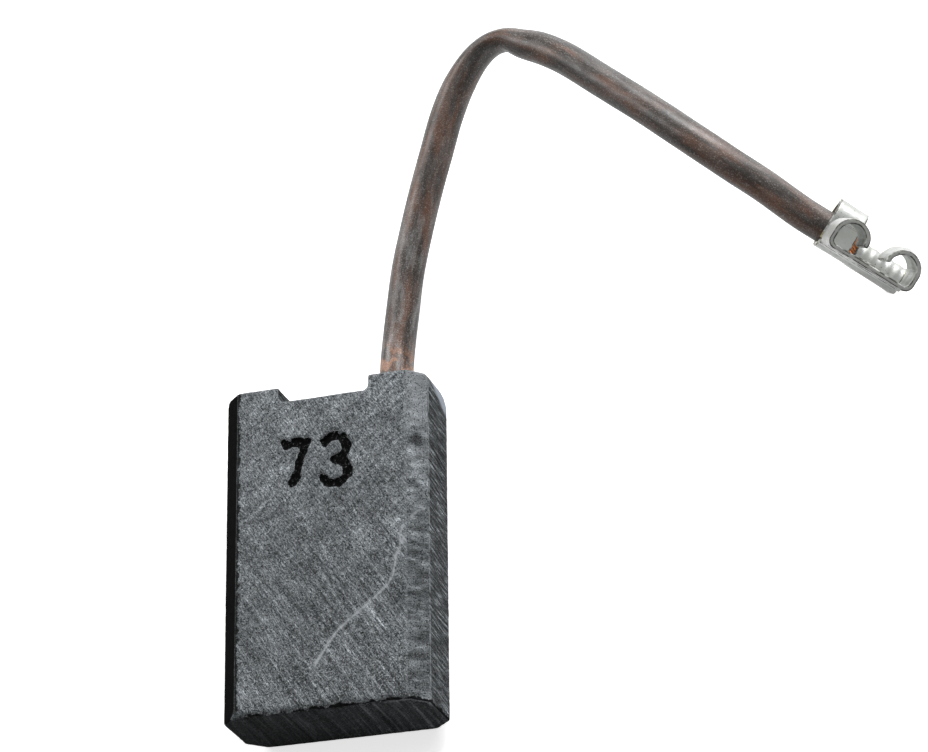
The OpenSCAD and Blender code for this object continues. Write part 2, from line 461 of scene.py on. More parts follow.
class CarbonSurface:
    """What the carbon finish reads of the block: its places, its faces and its grain."""

    def __init__(self, bench: NodeBench, effects: Effects, grain_size: float) -> None:
        """Read the surface.

        Args:
            bench: The finish's bench.
            effects: The shared shader groups.
            grain_size: Size of the grain, in mm.
        """
        self.place = bench.position()
        facing = bench.add("ShaderNodeSeparateXYZ", {0: bench.normal()}).outputs
        spot = bench.add("ShaderNodeSeparateXYZ", {0: self.place}).outputs
        self.x, self.y = spot["X"], spot["Y"]
        self.front = bench.band(facing["Z"], 0.80, 0.95)
        self.side = bench.band(bench.math("ABSOLUTE", facing["X"]), 0.80, 0.95)
        self.run = bench.band(facing["Y"], -0.80, -0.95)
        self.off_run = bench.band(facing["Y"], -0.95, -0.80)
        self.left_flat = bench.times(bench.band(facing["X"], -0.45, -0.65), bench.band(facing["Z"], 0.2, 0.5))
        self.right_flat = bench.times(bench.band(facing["Z"], 0.5, 0.6), bench.band(facing["X"], 0.5, 0.6))
        self.grain = bench.group(effects.grain, {"Position": self.place, "Size": grain_size}).outputs


@dataclass(frozen=True)
class Carbon:
    """Pressed and baked carbon-graphite, sawn to size. Sizes in mm."""

    body: Colour = (0.126, 0.137, 0.144)
    pit: Colour = (0.014, 0.016, 0.016)
    flake: Colour = (0.40, 0.425, 0.445)
    lead_end_tone: Colour = (0.215, 0.228, 0.240)
    fresh: Colour = (0.42, 0.46, 0.52)
    # deep: near-black, used for painted shade on faces, along edges and in the stamp, and for the smudge
    deep: Colour = (0.002, 0.002, 0.002)
    grain_size: float = 0.15
    run_y: float = -14.72
    left_x: float = 7.5
    thumbed: Triple = (8.0, 8.2, 7.2)
    front_dashes: Marks = Marks((0.56, -0.83, 0.0), (0.83, 0.56, 0.0), 0.13, 0.45)
    front_saw: Marks = Marks((0.56, -0.83, 0.0), (0.83, 0.56, 0.0), 0.40, 6.0)
    front_cross: Marks = Marks((0.77, 0.64, 0.0), (-0.64, 0.77, 0.0), 0.34, 2.4)
    side_saw: Marks = Marks((0.0, -0.08, -0.99), (0.0, 0.99, -0.08), 0.24, 2.6)
    run_lines: Marks = Marks((-0.08, 0.0, -1.0), (1.0, 0.0, -0.08), 0.46, 14.0, 0.006)
    flat_wear: Marks = Marks((0.70, 0.05, -0.70), (-0.05, 0.99, 0.05), 0.75, 2.6)

    def material(self, effects: Effects) -> bpy.types.Material:
        """Build the finish.

        Args:
            effects: The shared shader groups.

        Returns:
            The material.
        """
        material, bench, shader = new_material("carbon_graphite")
        block = CarbonSurface(bench, effects, self.grain_size)
        relief = self.relief(bench, effects, block)
        colour = self.handled(bench, block, self.grained(bench, block, relief))
        run_edge_shade = self.shaded_run_edge(bench, block)
        # Painted shade: a ragged near-black band along the crumbled run edge.
        colour = bench.lay(colour, self.deep, run_edge_shade, 0.95)
        # Painted shade: a ragged near-black band along the front's left edge.
        colour = bench.lay(colour, self.deep, self.shaded_left_edge(bench, block), 0.9)
        ragged = bench.math("ADD", bench.mask("stamped"), bench.noise(block.place, 0.30, 3.0, 0.8))
        inside = bench.band(ragged, 0.94, 1.04)
        bench.feed(shader.inputs["Base Color"], self.stamped(bench, block, colour, ragged, inside))
        rough = bench.band(block.grain["Mottle"], 0.3, 0.7, 0.74, 0.88)
        dull = bench.math("MAXIMUM", bench.math("MAXIMUM", inside, block.left_flat), run_edge_shade)
        bench.feed(shader.inputs["Roughness"], bench.math("MAXIMUM", rough, dull))
        shader.inputs["Specular IOR Level"].default_value = 0.06
        height = bench.math("SUBTRACT", bench.times(relief, 0.55), bench.times(block.grain["Pits"], 0.8))
        bench.emboss(shader, height, strength=0.6, depth=0.05)
        return material

    def relief(self, bench: NodeBench, effects: Effects, block: CarbonSurface) -> Socket:
        """Add up the grain and the marks of each face.

        Args:
            bench: The finish's bench.
            effects: The shared shader groups.
            block: What is read of the surface.

        Returns:
            How far the surface is brighter than its body, in doublings.
        """
        low_right = bench.band(bench.dot(block.place, (0.5, -1.0, 0.0)), -8.0, 12.0, 1.8, 6.0)
        high = bench.band(block.y, -6.0, 6.0, 0.8, 3.2)
        parts = [(block.grain["Speckle"], 5.0)]
        for marks, face, depth in (
            (self.front_dashes, block.front, 6.2),
            (self.front_saw, block.front, low_right),
            (self.front_cross, block.front, high),
            (self.side_saw, block.side, 13.0),
            (self.run_lines, block.run, 8.5),
            (self.flat_wear, block.right_flat, 7.5),
        ):
            lines = bench.math("SUBTRACT", marks.placed(bench, effects, block.place), 0.5)
            parts.append((lines, bench.times(face, depth)))
        return bench.weighted(parts)

    def grained(self, bench: NodeBench, block: CarbonSurface, relief: Socket) -> Socket:
        """Shade the body by its relief, lighten the right flat towards the lead end, and strew flakes and
        pits.

        Args:
            bench: The finish's bench.
            block: What is read of the surface.
            relief: How much brighter each place is, in doublings.

        Returns:
            The colour of the unworn carbon.
        """
        # Slow tone: mottling, with the block lighter towards the lead end and the right flat half a stop
        # lighter.
        slow = bench.weighted([
            (bench.math("SUBTRACT", block.grain["Mottle"], 0.5), 2.2),
            (bench.centred(block.place, 3.2, 3.0, 0.6), 1.6),
            (bench.band(block.y, -2.0, 14.0), 0.35),
            (block.right_flat, 0.50),
        ])
        colour = bench.exposed(self.body, bench.math("ADD", relief, slow))
        # The right flat is paler towards the lead end.
        toward_lead_end = bench.times(
            bench.band(bench.noise(block.place, 2.4, 3.0), 0.42, 0.60, 0.0, 0.75),
            bench.band(block.y, 4.0, 13.0),
        )
        colour = bench.lay(colour, self.lead_end_tone, block.right_flat, toward_lead_end)
        paler = bench.band(block.y, -6.0, -13.0, 0.45, 0.85)
        colour = bench.lay(colour, self.flake, block.grain["Flakes"], paler)
        return bench.lay(colour, self.pit, block.grain["Pits"], 0.9)

    def handled(self, bench: NodeBench, block: CarbonSurface, colour: Socket) -> Socket:
        """Lay the scratch, the darkened faces (painted shade, partly their own darker finish), the painted
        edge highlight, the smudge and the chipped corner over it.

        Args:
            bench: The finish's bench.
            block: What is read of the surface.
            colour: The colour of the unworn carbon.

        Returns:
            The colour with its wear, its painted shade and its painted highlight.
        """
        broken = bench.band(bench.noise(block.place, 0.4, 3.0), 0.30, 0.52)
        scratch = bench.times(bench.mask("scratch"), broken)
        colour = bench.lay(colour, self.flake, scratch, 0.85)
        # Darken whole faces: on the left flat this is painted shade from a neighbouring brush; on the side,
        # the run face and the lower right flat it is partly painted shade and partly the faces' own darker
        # finish.
        tint = bench.weighted([
            (block.side, bench.band(block.y, 0.0, 13.0, 0.44, 0.62)),
            (block.run, bench.band(block.x, -7.0, 8.0, 0.84, 0.60)),
            (block.left_flat, 1.0),
            (block.right_flat, bench.band(block.y, -6.0, 12.0, 0.38, 0.0)),
        ])
        colour = bench.mix(tint, colour, self.deep)
        # Painted highlight: a broken pale line along the edge between the right flat and the side.
        patchy = bench.band(bench.noise(block.place, 0.5, 3.0), 0.35, 0.55)
        edge_highlight = bench.times(bench.mask("highlight_ridge"), patchy)
        colour = bench.lay(colour, self.flake, edge_highlight, 0.55)
        smudge = bench.vector("DISTANCE", block.place, self.thumbed).outputs["Value"]
        smudge = bench.math("ADD", smudge, bench.noise(block.place, 0.6, 3.0))
        colour = bench.mix(bench.band(smudge, 1.5, 0.8, 0.0, 0.7), colour, self.deep)
        return bench.lay(colour, self.fresh, bench.mask("fresh"), 0.9)

    def shaded_run_edge(self, bench: NodeBench, block: CarbonSurface) -> Socket:
        """Find the ragged band above the run face where the front has crumbled; it is painted near-black as
        shade.

        Args:
            bench: The finish's bench.
            block: What is read of the surface.

        Returns:
            A mask from 0 to 1.
        """
        uneven = bench.math("ADD", bench.times(bench.noise(block.place, 1.1, 4.0, 0.75), 1.3), -0.45)
        above = bench.math("SUBTRACT", block.y, self.run_y)
        return bench.times(bench.band(bench.math("SUBTRACT", uneven, above), -0.06, 0.04), block.off_run)

    def shaded_left_edge(self, bench: NodeBench, block: CarbonSurface) -> Socket:
        """Find a ragged band along the front's left edge that is painted near-black as shade.

        Args:
            bench: The finish's bench.
            block: What is read of the surface.

        Returns:
            A mask from 0 to 1.
        """
        uneven = bench.math("ADD", bench.times(bench.noise(block.place, 0.9, 4.0, 0.7), 1.4), -0.50)
        bites = bench.math("SUBTRACT", uneven, bench.math("ADD", block.x, self.left_x))
        return bench.times(bench.band(bites, -0.08, 0.08), block.front)

    def stamped(self, bench: NodeBench, block: CarbonSurface, colour: Socket, ragged: Socket,
                inside: Socket) -> Socket:
        """Darken the stamped number with painted shade in its recess, with pale crumbs on its rim and in it.

        Args:
            bench: The finish's bench.
            block: What is read of the surface.
            colour: The colour with its wear, painted shade and painted highlight.
            ragged: How deep in the stamp a place lies, unevenly.
            inside: Where the stamp's recess is painted dark as shade.

        Returns:
            The finished colour.
        """
        loose = bench.band(bench.noise(block.place, 0.35, 2.0), 0.52, 0.60)
        rim = bench.times(bench.band(ragged, 0.72, 0.86), loose)
        colour = bench.lay(colour, self.flake, rim, 0.6)
        crumbs = bench.band(bench.noise(block.place, 0.20, 4.0, 0.7), 0.56, 0.72)
        # Painted shade: the stamp's recess is near-black, broken by crumbs of body colour.
        return bench.mix(inside, colour, bench.mix(crumbs, self.deep, self.body))


@dataclass(frozen=True)
class Tamping:
    """Copper-bearing powder tamped round the strand."""

    powder: Colour = (0.10, 0.07, 0.055)
    glint: Colour = (0.45, 0.24, 0.14)

    def material(self, effects: Effects) -> bpy.types.Material:
        """Build the finish.

        Args:
            effects: The shared shader groups.

        Returns:
            The material.
        """
        material, bench, shader = new_material("tamped_powder")
        grain = bench.group(effects.grain, {"Position": bench.position(), "Size": 0.12})
        colour = bench.mix(grain.outputs["Flakes"], self.powder, self.glint)
        bench.feed(shader.inputs["Base Color"], colour)
        shader.inputs["Roughness"].default_value = 0.8
        bench.emboss(shader, grain.outputs["Pits"], strength=0.8, depth=0.06)
        return material


@dataclass(frozen=True)
class Sleeve:
    """Smoky, half-clear insulating sleeve that lets the copper show through, with painted copper highlights
    near the block.
    """

    core: Colour = (0.036, 0.028, 0.023)
    warm: Colour = (0.120, 0.060, 0.038)
    wall_and_sheen: Colour = (0.092, 0.093, 0.093)
    bloom: Colour = (0.205, 0.198, 0.192)
    glow: Colour = (0.400, 0.200, 0.120)
    speck: Colour = (0.52, 0.50, 0.48)
    cover: float = 0.92

    def material(self, effects: Effects) -> bpy.types.Material:
        """Build the finish.

        Args:
            effects: The shared shader groups.

        Returns:
            The material.
        """
        material, bench, shader = new_material("smoky_sleeve")
        place, along = bench.position(), bench.mask("along")
        grain = bench.group(effects.grain, {"Position": place, "Size": 0.13})
        aside = bench.add("ShaderNodeLayerWeight", {"Blend": 0.5}).outputs["Facing"]
        drawn = bench.add("ShaderNodeCombineXYZ", {
            "X": bench.mask("round_x"), "Y": bench.mask("round_y"), "Z": bench.times(along, 0.16),
        }).outputs["Vector"]
        streaks = bench.noise(drawn, 0.8, 3.0, 0.6)
        colour = bench.mix(bench.band(streaks, 0.42, 0.62), self.core, self.warm)
        # Grey rim by facing: partly the wall's own grey seen edge-on, partly a painted rim sheen.
        colour = bench.mix(bench.band(aside, 0.30, 0.85), colour, self.wall_and_sheen)
        clouds = bench.band(bench.noise(drawn, 0.5, 4.0, 0.7), 0.40, 0.66)
        colour = bench.lay(colour, self.bloom, clouds, bench.band(along, 26.0, 3.0, 0.30, 0.95))
        # Painted highlight: orange patches near the block stand for the copper strand's highlights seen
        # through the sleeve.
        near = bench.times(bench.band(along, 5.0, 1.0), bench.band(bench.noise(place, 1.0, 3.0), 0.48, 0.60))
        colour = bench.lay(colour, self.glow, near, 0.8)
        colour = bench.exposed(colour, bench.weighted([
            (grain.outputs["Speckle"], 5.4),
            (bench.centred(drawn, 1.1, 3.0, 0.5), 2.2),
        ]))
        colour = bench.lay(colour, self.speck, grain.outputs["Flakes"], 0.26)
        bench.feed(shader.inputs["Base Color"], colour)
        clear = bench.times(1.0 - self.cover, bench.band(aside, 0.5, 0.2))
        bench.feed(shader.inputs["Alpha"], bench.math("SUBTRACT", 1.0, clear))
        bench.feed(shader.inputs["Roughness"], bench.band(grain.outputs["Mottle"], 0.3, 0.7, 0.36, 0.50))
        shader.inputs["Specular IOR Level"].default_value = 0.65
        bench.emboss(shader, grain.outputs["Flakes"], strength=0.4, depth=0.03)
        return material


@dataclass(frozen=True)
class Copper:
    """Fine copper wire, dulled in places."""

    bright: Colour = (0.86, 0.36, 0.17)
    dull: Colour = (0.30, 0.11, 0.055)

    def material(self, effects: Effects) -> bpy.types.Material:
        """Build the finish.

        Args:
            effects: The shared shader groups.

        Returns:
            The material.
        """
        material, bench, shader = new_material("copper_wire")
        grime = bench.group(effects.grime, {"Position": bench.position(), "Edge": 0.0, "Spot Size": 0.4})
        colour = bench.mix(grime.outputs["Film"], self.bright, self.dull)
        bench.feed(shader.inputs["Base Color"], colour)
        shader.inputs["Metallic"].default_value = 0.85
        bench.feed(shader.inputs["Roughness"], bench.band(grime.outputs["Film"], 0.0, 1.0, 0.3, 0.5))
        return material


@dataclass(frozen=True)
class TinnedBrass:
    """Dull tin plate over brass, tarnished along its edges."""

    tin: Colour = (0.60, 0.615, 0.60)
    tint: Colour = (0.50, 0.51, 0.47)
    dark: Colour = (0.060, 0.058, 0.050)
    brass: Colour = (0.62, 0.52, 0.22)
    drawing: Marks = Marks((0.757, -0.470, -0.453), (0.602, 0.771, 0.207), 0.12, 3.0)

    def material(self, effects: Effects) -> bpy.types.Material:
        """Build the finish.

        Args:
            effects: The shared shader groups.

        Returns:
            The material.
        """
        material, bench, shader = new_material("tinned_brass")
        place = bench.position()
        edge, cut, brassy = (bench.mask(name) for name in ("edge", "cut", "brassy"))
        grime = bench.group(effects.grime, {"Position": place, "Edge": edge, "Spot Size": 0.22})
        drawn = self.drawing.placed(bench, effects, place)
        colour = bench.lay(self.tin, self.tint, grime.outputs["Film"], 0.7)
        colour = bench.mix(bench.band(drawn, 0.50, 0.78, 0.0, 0.35), colour, self.tint)
        for over, where, share in (
            (self.tint, cut, 0.45), (self.brass, brassy, 0.9),
            (self.dark, grime.outputs["Rim"], 0.95), (self.dark, grime.outputs["Spots"], 0.7),
        ):
            colour = bench.lay(colour, over, where, share)
        bench.feed(shader.inputs["Base Color"], colour)
        shader.inputs["Metallic"].default_value = 0.55
        bench.feed(shader.inputs["Roughness"], bench.band(grime.outputs["Film"], 0.0, 1.0, 0.34, 0.52))
        bench.emboss(shader, drawn, strength=0.4, depth=0.03)
        return material


# ---------------------------------------------------------------- mesh helpers


class Lattice:
    """Smooth seeded noise over space."""

    side = 48

    def __init__(self, seed: int) -> None:
        """Draw the lattice's values.

        Args:
            seed: Seed of the draw.
        """
        self.table = np.random.default_rng(seed).uniform(-1.0, 1.0, (self.side,) * 3)

    def at(self, points: np.ndarray, size: float) -> np.ndarray:
        """Read the noise.

        Args:
            points: Places, in mm.
            size: Size of a grain, in mm.

        Returns:
            One value a place, from -1 to 1.
        """
        scaled = points / size
        cell = np.floor(scaled).astype(int)
        part = scaled - cell
        part = part * part * (3.0 - 2.0 * part)
        total = np.zeros(len(points))
        for corner in itertools.product((0, 1), repeat=3):
            weight = np.prod(np.where(corner, part, 1.0 - part), axis=1)
            index = (cell + corner) % self.side
            total += weight * self.table[index[:, 0], index[:, 1], index[:, 2]]
        return total


def step(values: np.ndarray, low: float, high: float) -> np.ndarray:
    """Return a smooth step from 0 at low to 1 at high."""
    part = np.clip((values - low) / (high - low), 0.0, 1.0)
    return part * part * (3.0 - 2.0 * part)


def relaxed(points: np.ndarray, edges: np.ndarray, rounds: int) -> np.ndarray:
    """Pull each point to the middle of its neighbours, again and again.

    Args:
        points: The mesh's points.
        edges: Pairs of neighbours.
        rounds: How often.

    Returns:
        The relaxed points.
    """
    ends = np.concatenate([edges[:, 0], edges[:, 1]])
    others = np.concatenate([edges[:, 1], edges[:, 0]])
    count = np.maximum(np.bincount(ends, minlength=len(points)), 1)[:, None]
    for _ in range(rounds):
        total = np.stack([np.bincount(ends, points[others, axis], len(points)) for axis in range(3)], axis=1)
        points = 0.5 * points + 0.5 * total / count
    return points


def smooth_line(points: list[Vector], spacing: float) -> np.ndarray:
    """Draw one smooth curve through points and walk it in equal steps.

    Args:
        points: The points that the curve passes.
        spacing: About how far apart the steps are.

    Returns:
        The places of the steps, ends included.
    """
    given = np.array([tuple(p) for p in points])
    run = np.concatenate([[0.0], np.cumsum(np.sqrt(np.linalg.norm(np.diff(given, axis=0), axis=1)))])
    slopes = np.gradient(given, run, axis=0, edge_order=2)
    fine = []
    for i in range(len(given) - 1):
        width = run[i + 1] - run[i]
        t = np.linspace(0.0, 1.0, 40, endpoint=False)[:, None]
        fine.append((2 * t**3 - 3 * t**2 + 1) * given[i] + (t**3 - 2 * t**2 + t) * width * slopes[i]
                    + (3 * t**2 - 2 * t**3) * given[i + 1] + (t**3 - t**2) * width * slopes[i + 1])
    fine = np.concatenate([*fine, given[-1:]])
    length = np.concatenate([[0.0], np.cumsum(np.linalg.norm(np.diff(fine, axis=0), axis=1))])
    stops = np.linspace(0.0, length[-1], max(2, round(length[-1] / spacing)) + 1)
    return np.stack([np.interp(stops, length, fine[:, axis]) for axis in range(3)], axis=1)


def carried_frames(line: np.ndarray) -> tuple[np.ndarray, np.ndarray, np.ndarray]:
    """Carry a frame along a line without twist.

    Args:
        line: The line's points.

    Returns:
        Direction, side and up at each point.
    """
    ahead = np.gradient(line, axis=0)
    ahead /= np.linalg.norm(ahead, axis=1)[:, None]
    side = np.zeros_like(line)
    last = np.cross(ahead[0], (0.0, 0.0, 1.0))
    for i, direction in enumerate(ahead):
        last = last - direction * np.dot(last, direction)
        last /= np.linalg.norm(last)
        side[i] = last
    return ahead, side, np.cross(side, ahead)


def add_object(name: str, mesh: bpy.types.Mesh, smooth: bool = True) -> bpy.types.Object:
    """Put a mesh into the scene.

    Args:
        name: The piece's name.
        mesh: Its mesh, with its place in it.
        smooth: Whether its faces are shaded smooth.

    Returns:
        The new object.
    """
    mesh.name = name
    mesh.shade_smooth() if smooth else mesh.shade_flat()
    piece = bpy.data.objects.new(name, mesh)
    bpy.context.scene.collection.objects.link(piece)
    return piece


def remeshed(source: bpy.types.Mesh, voxel: float, into: Matrix | None = None) -> bpy.types.Mesh:
    """Copy a solid's mesh as an even mesh of small quads.

    Args:
        source: The solid's mesh.
        voxel: Size of the quads, in metres.
        into: Turn that is made first, so that flat faces lie with the grid.

    Returns:
        The new mesh, still turned.
    """
    copy = source.copy()
    if into is not None:
        copy.transform(into)
    work = bmesh.new()
    work.from_mesh(copy)
    bmesh.ops.remove_doubles(work, verts=work.verts, dist=1e-7)
    work.to_mesh(copy)
    work.free()
    carrier = bpy.data.objects.new("carrier", copy)
    bpy.context.scene.collection.objects.link(carrier)
    grid = carrier.modifiers.new("grid", "REMESH")
    grid.mode = "VOXEL"
    grid.voxel_size = voxel
    evaluated = carrier.evaluated_get(bpy.context.evaluated_depsgraph_get())
    result = bpy.data.meshes.new_from_object(evaluated)
    bpy.data.objects.remove(carrier)
    bpy.data.meshes.remove(copy)
    return result


def read_mesh(mesh: bpy.types.Mesh) -> tuple[np.ndarray, np.ndarray, np.ndarray]:
    """Read a mesh.

    Args:
        mesh: The mesh.

    Returns:
        Its points in mm, its normals and its edges.
    """
    points = np.empty(len(mesh.vertices) * 3)
    mesh.vertices.foreach_get("co", points)
    normals = np.empty(len(mesh.vertices) * 3)
    mesh.vertices.foreach_get("normal", normals)
    edges = np.empty(len(mesh.edges) * 2, dtype=np.int32)
    mesh.edges.foreach_get("vertices", edges)
    return points.reshape(-1, 3) / MM, normals.reshape(-1, 3), edges.reshape(-1, 2)


def write_mesh(mesh: bpy.types.Mesh, points: np.ndarray, masks: dict[str, np.ndarray]) -> None:
    """Write moved points into a mesh, with the masks that its finish reads.

    Args:
        mesh: The mesh, changed in place.
        points: Its points, in mm.
        masks: Values at the points, by the mask's name.
    """
    mesh.vertices.foreach_set("co", (points * MM).ravel())
    for name, values in masks.items():
        layer = mesh.attributes.new(name, "FLOAT", "POINT")
        layer.data.foreach_set("value", values.astype(np.float32))
    mesh.update()


# ---------------------------------------------------------------- receptacle's place


@dataclass(frozen=True)
class TerminalPlace:
    """Frame of the flag receptacle: X to its mouth, Y along the wire, Z to its curls."""

    turn: Triple = (-67.0, -58.0, -60.0)
    origin: Triple = (43.6, 22.6, 6.411)

    def matrix(self) -> Matrix:
        """Return the frame's place, in mm."""
        angles = [math.radians(angle) for angle in self.turn]
        return Matrix.Translation(self.origin) @ Euler(angles, "XYZ").to_matrix().to_4x4()

    def point(self, x: float, y: float, z: float) -> Vector:
        """Return a point of the frame in the brush's own frame, in mm."""
        return self.matrix() @ Vector((x, y, z))


# ---------------------------------------------------------------- lead


@dataclass
class Lead:
    """Stiff sleeved lead from the block to the flag receptacle. Sizes in mm."""

    place: TerminalPlace
    exit: Triple = (5.35, 14.5, 4.0)
    free_route: tuple[Triple, ...] = (
        (5.5, 17.8, 4), (6, 21.5, 4.2), (6.6, 25.2, 4.5), (7.5, 28.7, 4.9),
        (8.6, 32.1, 5.5), (9.9, 35.4, 6.3), (11.2, 38.4, 7.2), (12.6, 40.7, 8),
        (14.4, 42.6, 8.8), (16, 43.4, 9.3), (17.5, 43.4, 9.6), (19, 42.6, 9.9),
        (20.8, 41.6, 10.3), (22.9, 40.1, 10.6), (26.3, 37, 11.1), (30.2, 33.5, 11.4),
        (34, 30, 11.4), (37, 27.5, 10.5), (39.4, 25.7, 9.3),
    )
    free_length: float = 69.6
    sleeve_r: float = 1.35
    bore_r: float = 0.95
    bare_gap: float = 0.2
    sleeve_in_grip: float = 2.4
    hole_reach: float = 9.0
    grip_reach: float = 2.7
    crimp_reach: tuple[float, float] = (3.2, 7.4)
    crimp_drop: float = 0.55
    kink: Triple = (16.8, 43.5, 9.5)
    kink_lead: float = 0.7
    kink_reach: tuple[float, float] = (4.2, 2.8)
    kink_squash: float = 0.40
    kink_widening: float = 0.2
    kink_span: int = 12
    swell: tuple[float, float] = (1.07, 1.035)
    swell_run: float = 5.0
    ripple: tuple[float, float] = (0.010, 2.4)
    sides: int = 40
    ring_step: float = 0.3
    wire_r: float = 0.114
    wire_step: float = 0.45
    wire_stray: float = 0.05
    lay_length: float = 13.0
    layers: tuple[int, ...] = (6, 12, 18)

    def __post_init__(self) -> None:
        """Work out the two routes."""
        start = Vector(self.exit)
        free = [Vector(p) for p in self.free_route]
        into = [self.place.point(0, y, 0) for y in (-2, 0)]
        crimped = [self.place.point(0, y, -self.crimp_drop) for y in self.crimp_reach]
        self.sleeve_route = [
            start + Vector((0, self.bare_gap, 0)), *free, *into, self.place.point(0, self.sleeve_in_grip, 0),
        ]
        self.strand_route = [
            start - Vector((0, self.hole_reach, 0)), start, *free, *into,
            self.place.point(0, self.grip_reach, 0), *crimped,
        ]

    def pinch(self, line: np.ndarray, ahead: np.ndarray, run: np.ndarray) -> tuple[np.ndarray, ...]:
        """Work out how the sleeve gives way where the lead is bent sharply.

        Args:
            line: The sleeve's centreline.
            ahead: Its direction at each point.
            run: Its length up to each point.

        Returns:
            The way to the inside of the bend, how near the pinch each point is,
            from 0 to 1, and how much the sleeve is swollen there.
        """
        folded = int(np.argmin(np.linalg.norm(line - np.array(self.kink), axis=1)))
        inside = ahead[folded + self.kink_span] - ahead[folded - self.kink_span]
        bend = inside - ahead * (ahead @ inside)[:, None]
        bend /= np.maximum(np.linalg.norm(bend, axis=1), TINY)[:, None]
        past = run - run[folded] + self.kink_lead
        near = np.exp(-((past / np.where(past < 0.0, *self.kink_reach)) ** 2))
        swollen = self.swell[1] + (self.swell[0] - self.swell[1]) * step(past, 0.0, -self.swell_run)
        return bend[:, None], near[:, None, None], swollen[:, None, None]

    def sleeve_mesh(self, line: np.ndarray) -> bpy.types.Mesh:
        """Sweep the sleeve's wall along its line.

        Args:
            line: The sleeve's centreline.

        Returns:
            A closed tube wall, pinched where the lead is bent sharply.
        """
        ahead, side, up = carried_frames(line)
        run = np.concatenate([[0.0], np.cumsum(np.linalg.norm(np.diff(line, axis=0), axis=1))])
        bend, near, swollen = self.pinch(line, ahead, run)
        uneven, (ripple, ripple_size) = Lattice(11), self.ripple
        angles = np.linspace(0.0, 2.0 * math.pi, self.sides, endpoint=False)
        around = np.cos(angles)[None, :, None] * side[:, None] + np.sin(angles)[None, :, None] * up[:, None]
        rings = []
        for radius, squash in ((self.sleeve_r, self.kink_squash), (self.bore_r, 0.5 * self.kink_squash)):
            offset = radius * swollen * around
            inward = np.sum(offset * bend, axis=2, keepdims=True) * bend
            offset = offset - squash * near * inward
            offset = offset * (1.0 + self.kink_widening * squash * near)
            places = (line[:, None] + offset).reshape(-1, 3)
            waves = ripple * uneven.at(places, ripple_size).reshape(len(line), self.sides, 1)
            rings.append(line[:, None] + offset * (1.0 + waves))
        walls = np.concatenate([rings[0], rings[1][::-1]])
        count, sides = len(walls), self.sides
        ring = np.arange(count)[:, None] * sides
        follow = (np.arange(count)[:, None] + 1) % count * sides
        place = np.arange(sides)[None]
        beside = (place + 1) % sides
        quads = np.stack([ring + place, ring + beside, follow + beside, follow + place], axis=2)
        mesh = bpy.data.meshes.new("sleeve")
        mesh.from_pydata((walls.reshape(-1, 3) * MM).tolist(), [], quads.reshape(-1, 4).tolist())
        turn = np.tile(angles, count)
        write_mesh(mesh, walls.reshape(-1, 3), {
            "along": np.repeat(np.concatenate([run, run[::-1]]), sides),
            "round_x": np.cos(turn), "round_y": np.sin(turn),
        })
        return mesh

    @staticmethod
    def wire_offset(bench: NodeBench, given: bpy.types.Node, number: Socket) -> Socket:
        """Work out how far each point of a wire lies from the centreline.

        Args:
            bench: The tree's bench.
            given: The tree's input node.
            number: The wire's number in its layer.

        Returns:
            The offset.
        """
        along = bench.add("GeometryNodeSplineParameter").outputs["Length"]
        turns = bench.math("DIVIDE", along, given.outputs["Lay Length"])
        share = bench.math("DIVIDE", number, given.outputs["Wires"])
        angle = bench.times(bench.math("ADD", turns, share), 2.0 * math.pi)
        normal = bench.add("GeometryNodeInputNormal").outputs["Normal"]
        tangent = bench.add("GeometryNodeInputTangent").outputs["Tangent"]
        binormal = bench.vector("CROSS_PRODUCT", tangent, normal).outputs["Vector"]
        place = bench.add("GeometryNodeInputPosition").outputs["Position"]
        aside = bench.add("ShaderNodeCombineXYZ", {"X": number}).outputs["Vector"]
        own = bench.vector("ADD", place, aside).outputs["Vector"]
        loose = bench.add("ShaderNodeTexNoise", {"Vector": own, "Scale": 450.0, "Detail": 0.0}).outputs["Fac"]
        loose = bench.times(bench.math("SUBTRACT", loose, 0.5), given.outputs["Stray"])
        reach = bench.math("ADD", given.outputs["Layer Radius"], loose)
        parts = []
        for direction, swing in ((normal, "COSINE"), (binormal, "SINE")):
            size = bench.times(bench.math(swing, angle), reach)
            part = bench.add("ShaderNodeVectorMath", {0: direction, "Scale": size}, operation="SCALE")
            parts.append(part.outputs["Vector"])
        return bench.vector("ADD", *parts).outputs["Vector"]

